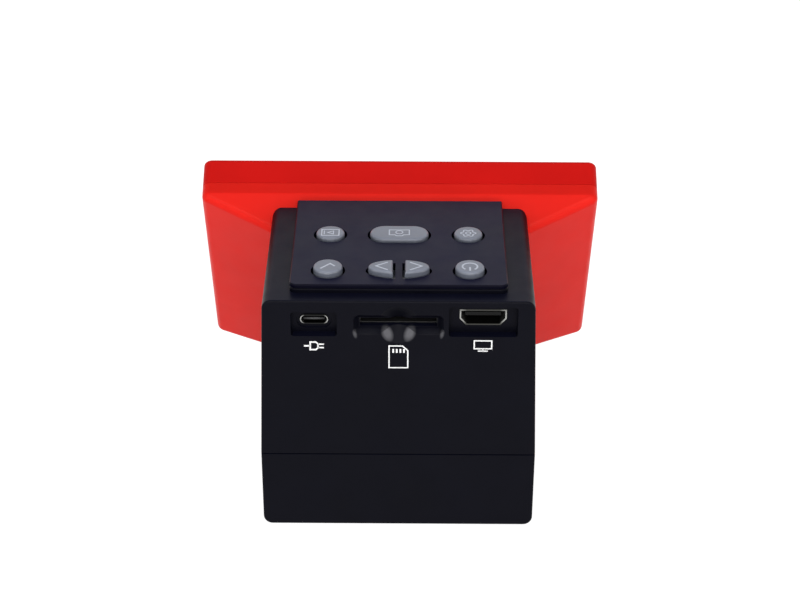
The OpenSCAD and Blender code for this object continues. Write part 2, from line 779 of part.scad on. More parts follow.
module main_board() {
    color(board_green) difference() {
        block([-board_half_w, board_half_w], [board_rear, board_front], [main_low, main_top]);
        main_post_places() translate([0, 0, main_low - 1]) cylinder(4, r = small_r + 0.3);
    }
}
module main_chips() {
    color(chip_black) {
        block([-board_half_w * 0.8, -board_half_w * 0.45], [board_front / 2, board_front * 0.94],
            [main_top, main_top + board_t * 0.75]);
        block([board_half_w * 0.45, board_half_w * 0.67], [board_front * 0.47, board_front * 0.75],
            [main_top, main_top + board_t * 0.6]);
    }
}
module usb_socket() {
    color(steel) translate([socket_x, 0, usb_z]) from_rear(socket_face, usb_l) difference() {
        stadium(usb_w, usb_h);
        stadium(usb_w - 0.6, usb_h - 0.6);
    }
}
module usb_tongue() {
    inner = 0.32;
    color(chip_black) translate([socket_x, 0, usb_z]) {
        from_rear(socket_face + 0.6, usb_l - 0.6) square([6.7, 0.7], center = true);
        from_rear(socket_face + usb_l - 2.6, 2.6) stadium(usb_w - 2 * inner, usb_h - 2 * inner);
    }
}
module hdmi_socket() {
    color(steel) translate([-socket_x, 0, hdmi_z]) from_rear(socket_face, hdmi_l) difference() {
        video_outline(0);
        video_outline(-0.45);
    }
}
module hdmi_tongue() {
    color(chip_black) translate([-socket_x, 0, hdmi_z]) {
        translate([0, 0, 0.7]) from_rear(socket_face + 1.2, hdmi_l - 1.2) square([11.4, 1.2], center = true);
        from_rear(socket_face + hdmi_l - 2.8, 2.8) video_outline(-0.47);
    }
}
module card_socket() {
    d = frame_d + 0.15;
    color(chip_black) difference() {
        block([-card_body_w / 2 + sheet_t + 0.02, card_body_w / 2 - sheet_t - 0.02], [d, d + card_body_l],
            [main_top, main_top + card_body_h - sheet_t]);
        block([-card_w / 2, card_w / 2], [d - 1, d + card_body_l - 2],
            [card_z - card_t / 2, main_top + card_body_h]);
    }
}
module card_socket_cover() {
    d = frame_d + 0.15;
    half = card_body_w / 2;
    color(steel) difference() {
        block([-half, half], [d, d + card_body_l], [main_top, main_top + card_body_h]);
        block([-half + sheet_t, half - sheet_t], [d - 1, d + card_body_l + 1],
            [main_top - 1, main_top + card_body_h - sheet_t]);
        // Window that the card's spring finger shows through
        block([-6, 6], [d + 12, d + 18], [main_top + 1, main_top + card_body_h + 1]);
    }
}

// ---- Camera above the film ----

module lens_tower() {
    top_half = barrel_dia / 2 + 4.1;
    low_x = frame_l / 2 + 4.5;
    low_d = frame_w / 2 + 3.3;
    t = tower_wall;
    color(chip_black) difference() {
        union() {
            block([-flange_x, flange_x], [lens_d - slot_half + 5, lens_d + slot_half - 5],
                [flange_low, tower_low]);
            hull() {
                block([-low_x, low_x], [lens_d - low_d, lens_d + low_d], [tower_low - eps, tower_low]);
                block([-top_half, top_half], [lens_d - top_half, lens_d + top_half],
                    [tower_top - t, tower_top]);
            }
        }
        hull() {
            block([t - low_x, low_x - t], [lens_d - low_d + t, lens_d + low_d - t],
                [flange_low - 1, tower_low]);
            block([t - top_half, top_half - t], [lens_d - top_half + t, lens_d + top_half - t],
                [tower_top - t - 0.1, tower_top - t]);
        }
        at(0, lens_d, tower_top - 3) cylinder(4, r = barrel_dia / 2 + 0.6);
        ledge_places() translate([0, 0, flange_low - 1]) cylinder(4, r = small_r + 0.3);
        ledge_places() translate([0, 0, flange_low - 1])
            cylinder(2, r1 = small_head_r + 1.2, r2 = small_r + 0.3);
    }
}
module lens_holder() {
    color(chip_black) difference() {
        block([-8, 8], [lens_d - 8, lens_d + 8], [tower_top, camera_low]);
        at(0, lens_d, tower_top - 1) cylinder(holder_h, r = barrel_dia / 2 + 0.08);
        block([-5.5, 5.5], [lens_d - 5.5, lens_d + 5.5], [camera_low - 1.4, camera_low + 1]);
    }
}
module lens_barrel() {
    color([0.2, 0.2, 0.21]) at(0, lens_d, tower_top - 5) difference() {
        union() {
            cylinder(11, r = barrel_dia / 2);
            cylinder(2.4, r = barrel_dia / 2 + 0.4);
        }
        translate([0, 0, -1]) cylinder(13, r = 3.2);
        translate([0, 0, -1]) cylinder(3.4, r = 4.3);
        translate([0, 0, 8.6]) cylinder(3, r = 4.3);
    }
}
// A lens with two bulging faces and a thin round edge
module lens(r, ball) {
    drop = sqrt(ball * ball - r * r) - 0.4;
    rotate_extrude() intersection() {
        translate([0, drop]) circle(ball, $fn = 120);
        translate([0, -drop]) circle(ball, $fn = 120);
        translate([0, -ball]) square([r, 2 * ball]);
    }
}
module lens_elements() {
    color([0.75, 0.85, 0.95]) {
        at(0, lens_d, tower_top - 5 + 1.3) lens(4.2, 10);
        at(0, lens_d, tower_top - 5 + 9.7) lens(4.2, 12);
    }
}
module image_sensor() {
    color([0.25, 0.3, 0.35]) block([-4, 4], [lens_d - 3.2, lens_d + 3.2], [camera_low - 0.9, camera_low]);
}
camera_half_w = 12;
camera_rear = 11;
camera_front = 10;
module camera_board() {
    color(board_green) block([-camera_half_w, camera_half_w],
        [lens_d - camera_rear, lens_d + camera_front], [camera_low, camera_low + camera_t]);
}
camera_ribbon_w = 12;
camera_ribbon_d = 26;
camera_ribbon_lap = 6;
module camera_ribbon() {
    low = camera_low + camera_t;
    color(ribbon_orange) {
        block([-camera_ribbon_w / 2, camera_ribbon_w / 2],
            [camera_ribbon_d, lens_d - camera_ribbon_lap], [low, low + ribbon_t]);
        block([-camera_ribbon_w / 2, camera_ribbon_w / 2],
            [camera_ribbon_d, camera_ribbon_d + ribbon_t], [low, main_low]);
    }
}

// ---- Film insert and the light under it ----

module film_insert() {
    mid = (insert_low + insert_top) / 2;
    color([0.13, 0.13, 0.14]) difference() {
        union() {
            block([-insert_l / 2, insert_l / 2], [lens_d - insert_w / 2, lens_d + insert_w / 2],
                [insert_low, insert_top]);
        }
        block([-60, 60], [lens_d - film_w / 2, lens_d + film_w / 2], [mid - film_t / 2, mid + film_t / 2]);
        block([-frame_l / 2, frame_l / 2], [lens_d - frame_w / 2, lens_d + frame_w / 2],
            [insert_low - 1, insert_top + 1]);
        // Finger grooves at both ends and detent notches in the edges
        for (s = [-1, 1]) {
            for (i = [0:2]) at(s * (insert_l / 2 - 2.4 - 2.2 * i), lens_d, insert_top + 0.5)
                rotate([90, 0, 0]) cylinder(30, r = 0.9, center = true, $fn = 24);
            for (x = [-38, 0, 38]) at(x, lens_d + s * (insert_w / 2 + 0.4), insert_low - 1)
                cylinder(insert_t + 2, r = 1.1, $fn = 24);
        }
    }
}
module light_box() {
    color(tray_white) difference() {
        block([-box_half_x, box_half_x], [lens_d - box_half_d, lens_d + box_half_d], [floor_z, box_top]);
        block([-box_half_x + box_wall, box_half_x - box_wall],
            [lens_d - box_half_d + box_wall, lens_d + box_half_d - box_wall],
            [floor_z + box_wall, box_top + 1]);
    }
}
module backlight_board() {
    low = floor_z + box_wall;
    color("white") block([-box_half_x + box_wall + 0.3, box_half_x - box_wall - 0.3],
        [lens_d - box_half_d + box_wall + 0.3, lens_d + box_half_d - box_wall - 0.3],
        [low, low + light_board_t]);
}
led_pitch = 15;
led_w = 2.8;
module backlight_leds() {
    low = floor_z + box_wall + light_board_t;
    color([0.95, 0.85, 0.4]) for (i = [-1.5:1:1.5], j = [-1:1])
        at(i * led_pitch, lens_d + j * led_pitch, low)
            translate([-led_w / 2, -led_w / 2, 0]) cube([led_w, led_w, led_h]);
}
module diffuser() {
    color([0.96, 0.96, 0.96]) block([-box_half_x, box_half_x],
        [lens_d - box_half_d, lens_d + box_half_d], [box_top, diffuser_top]);
}

// ---- Screen housing, drawn in the screen's own frame ----

module screen_rear_shell() {
    half_w = screen_w / 2 - rim_r;
    half_h = screen_h / 2 - rim_r;
    in_r = rim_r - screen_wall;
    back = taper_d - rim_r;
    color(housing_red) screen_frame() difference() {
        rear_shell_form(0, rim_t);
        hull() for (sx = [-1, 1], sy = [-1, 1]) {
            translate([sx * half_w, sy * half_h, rim_r / 2]) {
                bowl(in_r, 16);
                cylinder(rim_t, r = in_r, $fn = 16);
            }
            translate([sx * (half_w - taper_side * taper_d), sy * (half_h - taper_top * taper_d), -back])
                bowl(in_r, 16);
        }
        // Way through for the ribbon, and the screw holes
        translate([ribbon_x - 1, ribbon_up - 3, -taper_d - 1]) cube([ribbon_w + 2, 6, screen_wall + 4]);
        for (s = [-1, 1], y = [screen_post_low, screen_post_high])
            translate([s * screen_post_x, y, -taper_d - 1]) cylinder(6, r = clear_r);
    }
}
module screen_bezel() {
    low = rim_t + bezel_gap;
    in_w = screen_w - 2 * screen_wall;
    in_h = screen_h - 2 * screen_wall;
    glass_low = front_z - glass_sink - glass_t;
    ledge_t = 2.8;
    color(housing_red) screen_frame() difference() {
        union() {
            hull() for (sx = [-1, 1], sy = [-1, 1])
                translate([sx * (screen_w / 2 - bezel_r), sy * (screen_h / 2 - bezel_r), low])
                    rotate_extrude($fn = hull_fn) {
                        square([bezel_r, bezel_t - bezel_edge]);
                        square([bezel_r - bezel_edge, bezel_t]);
                        translate([bezel_r - bezel_edge, bezel_t - bezel_edge])
                            circle(bezel_edge, $fn = hull_fn);
                    }
            // Lip that snaps into the rear shell's rim
            translate([0, 0, low - 2]) rounded_plate(in_w - 0.4, in_h - 0.4, 3, bezel_r - screen_wall);
        }
        translate([0, 0, low - 3]) rounded_plate(in_w - 0.4 - 2 * hook_t, in_h - 0.4 - 2 * hook_t,
            glass_low - ledge_t + 3 - low, 1.4);
        translate([0, 0, low]) rounded_plate(panel_w + 0.6, panel_h + 0.6, bezel_t, 1);
        translate([0, 0, glass_low - seat_gap]) rounded_plate(glass_w + 0.4, glass_h + 0.4, 5, 2.7);
    }
}
module cover_glass() {
    color([0.05, 0.05, 0.06]) screen_frame() translate([0, 0, front_z - glass_sink - glass_t])
        rounded_plate(glass_w, glass_h, glass_t, 2.5);
}
module display_panel() {
    color([0.16, 0.18, 0.2]) screen_frame()
        translate([-panel_w / 2, -panel_h / 2, front_z - glass_sink - glass_t - seat_gap - panel_t])
            cube([panel_w, panel_h, panel_t]);
}
tray_top = front_z - glass_sink - glass_t - seat_gap - panel_t - seat_gap;
tray_t = 1;
display_board_top = tray_top - tray_t - 2;
display_board_w = panel_w / 2;
display_board_h = panel_h * 0.6;
display_board_t = 1.2;
module display_tray() {
    color(steel) screen_frame() {
        translate([-glass_w / 2 + 1, -glass_h / 2 + 0.75, tray_top - tray_t])
            cube([glass_w - 2, glass_h - 1.5, tray_t]);
        for (sx = [-1, 1], sy = [-1, 1])
            translate([sx * (display_board_w / 2 - 4), sy * (display_board_h / 2 - 4), display_board_top])
                cylinder(2 + eps, r = 2);
    }
}
module display_board() {
    color(board_green) screen_frame()
        translate([-display_board_w / 2, -display_board_h / 2, display_board_top - display_board_t])
            cube([display_board_w, display_board_h, display_board_t]);
}
// Flat cable from the display board, through the housing's back, to the main board
module display_ribbon() {
    t = ribbon_t;
    turn_z = -taper_d - 5;
    y = ribbon_up;
    board_z = display_board_top - display_board_t;
    start = [screen_d + board_z * cos(tilt) - y * sin(tilt), screen_z + board_z * sin(tilt) + y * cos(tilt)];
    bend = [screen_d + turn_z * cos(tilt) - y * sin(tilt), screen_z + turn_z * sin(tilt) + y * cos(tilt)];
    end = [board_front - 3, main_low];
    color(ribbon_orange) translate([ribbon_x, 0, 0]) rotate([90, 0, 90]) linear_extrude(ribbon_w)
        polygon([[rear_y - start[0], start[1]], [rear_y - bend[0], bend[1] + t],
            [rear_y - end[0], end[1] - 2], [rear_y - end[0], end[1]],
            [rear_y - end[0] + t, end[1]], [rear_y - end[0] + t, end[1] - 2 - t],
            [rear_y - bend[0], bend[1] - t], [rear_y - start[0], start[1] - t]]);
}

// ---- Fasteners, each group of like screws together ----

module body_screws() {
    color(steel) body_post_places() translate([0, 0, head_seat])
        screw(shaft_r, seam_z + body_boss_h - 2 - head_seat, head_r, head_h);
}
module screen_screws() {
    color(steel) screen_post_places() translate([0, 0, screen_wall + 0.02]) mirror([0, 0, 1])
        screw(shaft_r, screen_post_l - 1 + screen_wall - 0.4, head_r, head_h);
}
module board_screws() {
    color(steel) {
        main_post_places() translate([0, 0, main_low]) screw(small_r, 5, small_head_r, small_head_h);
        key_post_places() translate([0, 0, key_board_low]) screw(0.7, 2.4, 1.5, 0.9);
    }
}
module tower_screws() {
    color(steel) ledge_places() {
        translate([0, 0, flange_low + 0.1]) cylinder(3.2, r = small_r, $fn = 24);
        translate([0, 0, flange_low + 0.1]) cylinder(1, r1 = small_head_r, r2 = small_r, $fn = 24);
    }
}

upper_shell();
lower_shell();
key_frame();
key_plate();
socket_frame();
screen_rear_shell();
screen_bezel();
cover_glass();
display_panel();
display_tray();
display_board();
display_ribbon();
playback_key();
capture_key();
settings_key();
confirm_key();
right_key();
left_key();
power_key();
playback_plunger();
capture_plunger();
settings_plunger();
confirm_plunger();
right_plunger();
left_plunger();
power_plunger();
key_board();
key_switches();
key_ribbon();
main_board();
main_chips();
usb_socket();
usb_tongue();
hdmi_socket();
hdmi_tongue();
card_socket();
card_socket_cover();
lens_tower();
lens_holder();
lens_barrel();
lens_elements();
image_sensor();
camera_board();
camera_ribbon();
film_insert();
light_box();
backlight_board();
backlight_leds();
diffuser();
feet();
body_screws();
screen_screws();
board_screws();
tower_screws();
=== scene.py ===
import math

import bpy
import bmesh
from mathutils import Matrix, Vector


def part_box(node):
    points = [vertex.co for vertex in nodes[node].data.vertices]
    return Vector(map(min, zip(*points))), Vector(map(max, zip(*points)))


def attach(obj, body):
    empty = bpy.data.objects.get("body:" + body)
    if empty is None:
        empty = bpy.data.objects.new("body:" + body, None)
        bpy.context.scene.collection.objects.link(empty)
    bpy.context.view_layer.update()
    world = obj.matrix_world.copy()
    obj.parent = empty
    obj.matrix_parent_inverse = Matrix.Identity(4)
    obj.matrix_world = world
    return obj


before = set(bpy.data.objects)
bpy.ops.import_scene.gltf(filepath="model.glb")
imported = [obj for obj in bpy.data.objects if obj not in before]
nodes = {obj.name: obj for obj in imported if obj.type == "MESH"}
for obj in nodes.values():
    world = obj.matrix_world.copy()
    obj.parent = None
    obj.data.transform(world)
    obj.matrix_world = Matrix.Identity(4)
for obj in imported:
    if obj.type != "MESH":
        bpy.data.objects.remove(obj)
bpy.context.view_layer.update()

MM = 0.001


# ---- places, read from the CAD nodes so that they follow the solids ----

def middle_mm(node):
    low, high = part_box(node)
    return (low + high) / 2 / MM


REAR_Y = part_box("upper_shell")[1].y
SMALL_MID = middle_mm("usb_socket")
VIDEO_MID = middle_mm("hdmi_socket")


# ---- painted highlights: colours, and soft spots given in mm ----

# Painted highlights: their colour on black plastic, their colour on socket steel, and their gloss
PAINTED_HIGHLIGHT = (0.035, 0.035, 0.038)
PAINTED_HIGHLIGHT_METAL = (0.5, 0.5, 0.48)
PAINTED_HIGHLIGHT_GLOSS = 0.9
SPOT_CORE = 0.4
SLOT_Z = 76.9
SCOOP_Y = REAR_Y / MM - 1.0
SOCKET_Y = 57.0
TONGUE_Y = SOCKET_Y - 1.0
TONGUE_RISE = 0.1
VIDEO_RISE = 0.2
SMALL_END = 4.2
VIDEO_END = 7.2

# Painted highlights on the scoop's two flanks, the lower corners of the card slot's mouth and its lower
# flare
CARD_HIGHLIGHTS = [
    ((3.6, SCOOP_Y, SLOT_Z - 3.5), (1.9, 4.0, 3.1), -26, 0.85),
    ((13.9, SCOOP_Y, SLOT_Z - 3.3), (0.8, 4.0, 1.9), -12, 0.65),
    ((10.0, SCOOP_Y, SLOT_Z - 2.7), (5.5, 4.0, 1.1), 0, 0.07),
]
# Painted highlight along the small socket's tongue
TONGUE_HIGHLIGHTS = [
    ((SMALL_MID.x, TONGUE_Y, SMALL_MID.z + TONGUE_RISE), (SMALL_END, 8.0, 0.5), 0, 0.7),
]
# Painted highlights at both ends of the small socket's shell
SMALL_SOCKET_HIGHLIGHTS = [
    ((SMALL_MID.x + side * SMALL_END, SOCKET_Y, SMALL_MID.z), (1.4, 6.0, 2.6), 0, 0.7)
    for side in (-1, 1)
]
# Painted highlights at both ends of the video socket's shell
VIDEO_SOCKET_HIGHLIGHTS = [
    ((VIDEO_MID.x + side * VIDEO_END, SOCKET_Y, VIDEO_MID.z + VIDEO_RISE), (2.6, 6.0, 3.6), 0, 0.6)
    for side in (-1, 1)
]


# ---- materials ----

class Shader:
    """A principled material with its nodes laid out by short calls."""

    def __init__(self, name):
        self.mat = bpy.data.materials.new(name)
        self.mat.use_nodes = True
        self.tree = self.mat.node_tree
        self.bsdf = self.tree.nodes["Principled BSDF"]
        coord = self.tree.nodes.new("ShaderNodeTexCoord")
        self.place = coord.outputs["Object"]

    def node(self, kind, **values):
        n = self.tree.nodes.new(kind)
        for key, value in values.items():
            setattr(n, key, value)
        return n

    def link(self, a, b):
        self.tree.links.new(a, b)

    def set(self, **values):
        for key, value in values.items():
            self.bsdf.inputs[key.replace("_", " ")].default_value = value

    def noise(self, scale, detail=3.0, rough=0.55, stretch=None):
        n = self.node("ShaderNodeTexNoise")
        n.inputs["Scale"].default_value = scale
        n.inputs["Detail"].default_value = detail
        n.inputs["Roughness"].default_value = rough
        place = self.place
        if stretch:
            m = self.node("ShaderNodeMapping")
            m.inputs["Scale"].default_value = stretch
            self.link(self.place, m.inputs["Vector"])
            place = m.outputs["Vector"]
        self.link(place, n.inputs["Vector"])
        return n.outputs["Fac"]

    def cells(self, scale, feature="F1"):
        n = self.node("ShaderNodeTexVoronoi", feature=feature)
        n.inputs["Scale"].default_value = scale
        self.link(self.place, n.inputs["Vector"])
        return n.outputs["Distance"]

    def spread(self, value, low, high, from_low=0.3, from_high=0.7):
        n = self.node("ShaderNodeMapRange")
        n.inputs["From Min"].default_value = from_low
        n.inputs["From Max"].default_value = from_high
        n.inputs["To Min"].default_value = low
        n.inputs["To Max"].default_value = high
        self.link(value, n.inputs["Value"])
        return n.outputs["Result"]

    def blend(self, value, a, b):
        n = self.node("ShaderNodeMix", data_type="RGBA")
        self.link(value, n.inputs["Factor"])
        for socket, colour in ((n.inputs[6], a), (n.inputs[7], b)):
            if isinstance(colour, (tuple, list)):
                socket.default_value = (*colour, 1)
            else:
                self.link(colour, socket)
        return n.outputs[2]

    def near(self, spots, mirror=False):
        """1 at the middle of each spot, 0 outside: (centre, half sizes, turn in degrees, weight)."""
        total = None
        place = self.place
        if mirror:
            flip = self.node("ShaderNodeVectorMath", operation="ABSOLUTE")
            self.link(place, flip.inputs[0])
            place = flip.outputs[0]
        for centre, half, turn, weight in spots:
            swing = self.node("ShaderNodeVectorRotate", rotation_type="AXIS_ANGLE")
            swing.inputs["Center"].default_value = [c * MM for c in centre]
            swing.inputs["Axis"].default_value = (0, 1, 0)
            swing.inputs["Angle"].default_value = math.radians(turn)
            self.link(place, swing.inputs["Vector"])
            away = self.node("ShaderNodeVectorMath", operation="SUBTRACT")
            self.link(swing.outputs[0], away.inputs[0])
            away.inputs[1].default_value = [c * MM for c in centre]
            scaled = self.node("ShaderNodeVectorMath", operation="DIVIDE")
            self.link(away.outputs[0], scaled.inputs[0])
            scaled.inputs[1].default_value = [h * MM for h in half]
            size = self.node("ShaderNodeVectorMath", operation="LENGTH")
            self.link(scaled.outputs[0], size.inputs[0])
            spot = self.spread(size.outputs["Value"], weight, 0, SPOT_CORE, 1.0)
            if total is not None:
                most = self.node("ShaderNodeMath", operation="MAXIMUM")
                self.link(total, most.inputs[0])
                self.link(spot, most.inputs[1])
                spot = most.outputs[0]
            total = spot
        return total

    def upward(self, steep, flat):
        """0 on faces less level than steep, 1 on faces more level than flat (normal's z)."""
        parts = self.node("ShaderNodeSeparateXYZ")
        self.link(self.node("ShaderNodeNewGeometry").outputs["Normal"], parts.inputs["Vector"])
        return self.spread(parts.outputs["Z"], 0, 1, steep, flat)

    def darker(self, colour, k):
        n = self.node("ShaderNodeVectorMath", operation="SCALE")
        self.link(colour, n.inputs[0])
        n.inputs["Scale"].default_value = k
        return n.outputs[0]

    def color(self, value):
        self.link(value, self.bsdf.inputs["Base Color"])

    def roughness(self, value):
        self.link(value, self.bsdf.inputs["Roughness"])

    def bump(self, heights):
        """heights: pairs of (value, depth in metres), stacked one on the other."""
        normal = None
        for value, depth in heights:
            b = self.node("ShaderNodeBump")
            b.inputs["Strength"].default_value = 1.0
            b.inputs["Distance"].default_value = depth
            self.link(value, b.inputs["Height"])
            if normal is not None:
                self.link(normal, b.inputs["Normal"])
            normal = b.outputs["Normal"]
        self.link(normal, self.bsdf.inputs["Normal"])


def tint(colour, k):
    return tuple(min(1.0, c * k) for c in colour)


def moulded(name, colour, rough, grain=3200.0, grain_depth=0.6e-5, vary=0.12, level=0.5,
            sheen=(1, 1, 1), shade=None, painted_highlights=()):
    """Moulded plastic: fine spark-eroded grain, slow tone changes and painted highlights.

    sheen tints its gloss, shade darkens a part of it as painted shade and the last argument
    lists painted highlight spots, lighter and glossier, the same on both sides."""
    s = Shader(name)
    tone = s.blend(s.spread(s.noise(45.0), 0, 1), tint(colour, 1 - vary), tint(colour, 1 + vary))
    gloss = s.spread(s.noise(120.0, 4.0), rough - 0.05, rough + 0.06)
    if shade:
        mask, depth, polish = shade(s)
        # Painted shade: the masked part of the tone is darkened
        tone = s.blend(mask, tone, s.darker(tone, depth))
        scale = s.node("ShaderNodeMath", operation="MULTIPLY")
        s.link(gloss, scale.inputs[0])
        s.link(s.spread(mask, 1, polish, 0, 1), scale.inputs[1])
        gloss = scale.outputs[0]
    if painted_highlights:
        # Painted highlights: the spots are lighter in colour and glossier
        highlight_mask = s.near(painted_highlights, mirror=True)
        tone = s.blend(highlight_mask, tone, PAINTED_HIGHLIGHT)
        lifted = s.spread(highlight_mask, level, PAINTED_HIGHLIGHT_GLOSS, 0, 1)
        s.link(lifted, s.bsdf.inputs["Specular IOR Level"])
    s.color(tone)
    s.roughness(gloss)
    s.bump([(s.noise(grain, 2.0, 0.6), grain_depth), (s.noise(90.0, 2.0), 2.5e-5)])
    if not painted_highlights:
        s.set(Specular_IOR_Level=level)
    s.set(Specular_Tint=(*sheen, 1))
    return s


def metal(name, colour, rough, along=(1, 1, 14), bright=()):
    """Drawn metal. bright is a list of painted highlight spots, lighter in colour."""
    s = Shader(name)
    tone = s.blend(s.spread(s.noise(900.0, stretch=along), 0, 1), tint(colour, 0.85), tint(colour, 1.1))
    # Painted highlights: spots blended to a light metal tone
    if bright:
        tone = s.blend(s.near(bright), tone, PAINTED_HIGHLIGHT_METAL)
    s.color(tone)
    s.roughness(s.spread(s.noise(700.0, stretch=along), rough - 0.06, rough + 0.1))
    s.bump([(s.noise(2500.0, stretch=along), 0.6e-5)])
    s.set(Metallic=1.0)
    return s


def board(name, colour):
    """Solder mask over copper tracks."""
    s = Shader(name)
    tracks = s.cells(700.0, "DISTANCE_TO_EDGE")
    s.color(s.blend(s.spread(tracks, 0, 1, 0.05, 0.12), tint(colour, 1.7), colour))
    s.roughness(s.spread(s.noise(300.0), 0.28, 0.42))
    s.bump([(s.spread(tracks, 1, 0, 0.05, 0.12), 3e-5)])
    return s


def painted_shade_on_level_faces(s):
    """Painted shade: the rim's level top is a little darker than the tapers."""
    mask = s.upward(0.74, 0.86)
    depth, polish = 0.89, 1.0
    return mask, depth, polish


def painted_shade_on_walls(s):
    """Painted shade: the black shell is darker on its walls than on its level faces."""
    flip = s.node("ShaderNodeMath", operation="SUBTRACT")
    flip.inputs[0].default_value = 1.0
    s.link(s.upward(0.8, 0.96), flip.inputs[1])
    depth, polish = 0.27, 1.0
    return flip.outputs[0], depth, polish


def painted_shade_on_key_edges(s):
    """Painted shade: a key's round edge is darker than its top, and it is smoother."""
    parts = s.node("ShaderNodeSeparateXYZ")
    s.link(s.node("ShaderNodeTexCoord").outputs["Generated"], parts.inputs["Vector"])
    mask = s.spread(parts.outputs["Z"], 1, 0, 0.86, 0.985)
    depth, polish = 0.5, 0.4
    return mask, depth, polish


# Black shell: painted shade on its walls, painted highlights round the card slot
SHELL = moulded("shell_plastic", (0.004, 0.0045, 0.0125), 0.39, level=0.076,
                sheen=(0.93, 0.91, 1.0), shade=painted_shade_on_walls, painted_highlights=CARD_HIGHLIGHTS)
# Plate: painted shade on its walls
PLATE = moulded("plate_plastic", (0.004, 0.004, 0.021), 0.36, level=0.087,
                sheen=(0.85, 0.82, 1.0), shade=painted_shade_on_walls)
# Red shell: painted shade on its level faces
RED = moulded("red_plastic", (0.81, 0.014, 0.009), 0.34, grain=2600.0, vary=0.04, level=0.105,
              sheen=(1.0, 0.92, 0.75), shade=painted_shade_on_level_faces)
# Bezel: painted shade, a darker copy of the red with weaker gloss
SHADED_FRAME_RED = moulded("frame_plastic_painted_shade", (0.665, 0.010, 0.008), 0.36, grain=2600.0, vary=0.04,
                    level=0.04)
# Keys: painted shade on their round edges
KEY = moulded("key_plastic", (0.23, 0.25, 0.31), 0.34, grain=4200.0, vary=0.09, level=0.4,
              shade=painted_shade_on_key_edges)
TONGUE = moulded("tongue_plastic", (0.006, 0.006, 0.006), 0.5, level=0.12)
# Small socket's tongue with a painted highlight
SMALL_TONGUE = moulded("small_tongue_plastic", (0.006, 0.006, 0.006), 0.5, level=0.12,
                       painted_highlights=TONGUE_HIGHLIGHTS)
BLACK = moulded("black_plastic", (0.012, 0.012, 0.012), 0.5)
INSERT = moulded("insert_plastic", (0.02, 0.02, 0.021), 0.46)
WHITE = moulded("white_plastic", (0.78, 0.78, 0.76), 0.5, vary=0.03)
PLUNGER = moulded("plunger_plastic", (0.7, 0.7, 0.68), 0.45, vary=0.03)
LED = moulded("led_plastic", (0.8, 0.66, 0.2), 0.3, vary=0.08)
DIFFUSER = moulded("diffuser_sheet", (0.82, 0.82, 0.83), 0.6, vary=0.02)
WHITE_BOARD = board("white_board", (0.72, 0.72, 0.73))
GREEN_BOARD = board("circuit_board", (0.008, 0.1, 0.03))
STEEL = metal("sheet_steel", (0.55, 0.55, 0.56), 0.3)
# Socket shells with painted highlights at their ends
SMALL_SHELL = metal("small_socket_steel", (0.025, 0.025, 0.025), 0.34, bright=SMALL_SOCKET_HIGHLIGHTS)
VIDEO_SHELL = metal("video_socket_steel", (0.06, 0.06, 0.055), 0.34, bright=VIDEO_SOCKET_HIGHLIGHTS)
SCREW = metal("screw_steel", (0.35, 0.35, 0.36), 0.34)
BARREL = moulded("barrel_metal", (0.02, 0.02, 0.022), 0.35)


def rubber():
    s = Shader("foot_rubber")
    s.color(s.blend(s.spread(s.noise(600.0), 0, 1), (0.012, 0.012, 0.012), (0.03, 0.03, 0.029)))
    s.roughness(s.spread(s.noise(900.0), 0.7, 0.9))
    s.bump([(s.cells(2200.0), 4e-5)])
    return s


def ribbon():
    """Flat cable: copper strips under an amber film."""
    s = Shader("ribbon_film")
    wave = s.node("ShaderNodeTexWave", wave_type="BANDS", bands_direction="X")
    wave.inputs["Scale"].default_value = 320.0
    s.link(s.place, wave.inputs["Vector"])
    s.color(s.blend(wave.outputs["Fac"], (0.42, 0.2, 0.03), (0.66, 0.36, 0.09)))
    s.roughness(s.spread(s.noise(400.0), 0.25, 0.4))
    s.bump([(wave.outputs["Fac"], 2e-5)])
    return s


def glass(name, colour, rough):
    s = Shader(name)
    s.color(s.blend(s.spread(s.noise(60.0), 0, 1), tint(colour, 0.9), tint(colour, 1.1)))
    s.roughness(s.spread(s.noise(200.0), rough, rough + 0.03))
    s.bump([(s.noise(25.0, 1.0), 0.4e-5)])
    s.set(Transmission_Weight=1.0, IOR=1.5)
    return s


def cover():
    """Cover glass: black print round the edge, and a dark panel that shows through it."""
    print_side, print_top = 2.5 * MM, 4.2 * MM
    s = Shader("cover_glass")
    low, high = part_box("display_panel")
    half_x = (high.x - low.x) / 2 - print_side
    middle = (low.z + high.z) / 2
    half_z = (high.z - low.z) / 2 - print_top
    parts = s.node("ShaderNodeSeparateXYZ")
    s.link(s.place, parts.inputs["Vector"])

    def inside(value, centre, half):
        gap = s.node("ShaderNodeMath", operation="SUBTRACT")
        s.link(value, gap.inputs[0])
        gap.inputs[1].default_value = centre
        size = s.node("ShaderNodeMath", operation="ABSOLUTE")
        s.link(gap.outputs[0], size.inputs[0])
        test = s.node("ShaderNodeMath", operation="LESS_THAN")
        s.link(size.outputs[0], test.inputs[0])
        test.inputs[1].default_value = half
        return test.outputs[0]

    both = s.node("ShaderNodeMath", operation="MULTIPLY")
    s.link(inside(parts.outputs["X"], 0.0, half_x), both.inputs[0])
    s.link(inside(parts.outputs["Z"], middle, half_z), both.inputs[1])
    panel = s.blend(s.spread(s.noise(30.0), 0, 1), (0.012, 0.014, 0.019), (0.017, 0.019, 0.024))
    s.color(s.blend(both.outputs[0], (0.0035, 0.0035, 0.004), panel))
    s.roughness(s.spread(s.noise(45.0, 5.0), 0.05, 0.11))
    s.bump([(s.noise(20.0, 1.0), 0.3e-5)])
    s.set(Specular_IOR_Level=0.6)
    return s


def print_ink(name, colour):
    s = Shader(name)
    s.color(s.blend(s.spread(s.noise(3000.0), 0, 1), tint(colour, 0.92), tint(colour, 1.05)))
    s.roughness(s.spread(s.noise(1500.0), 0.45, 0.6))
    s.bump([(s.noise(5000.0), 0.4e-5)])
    return s


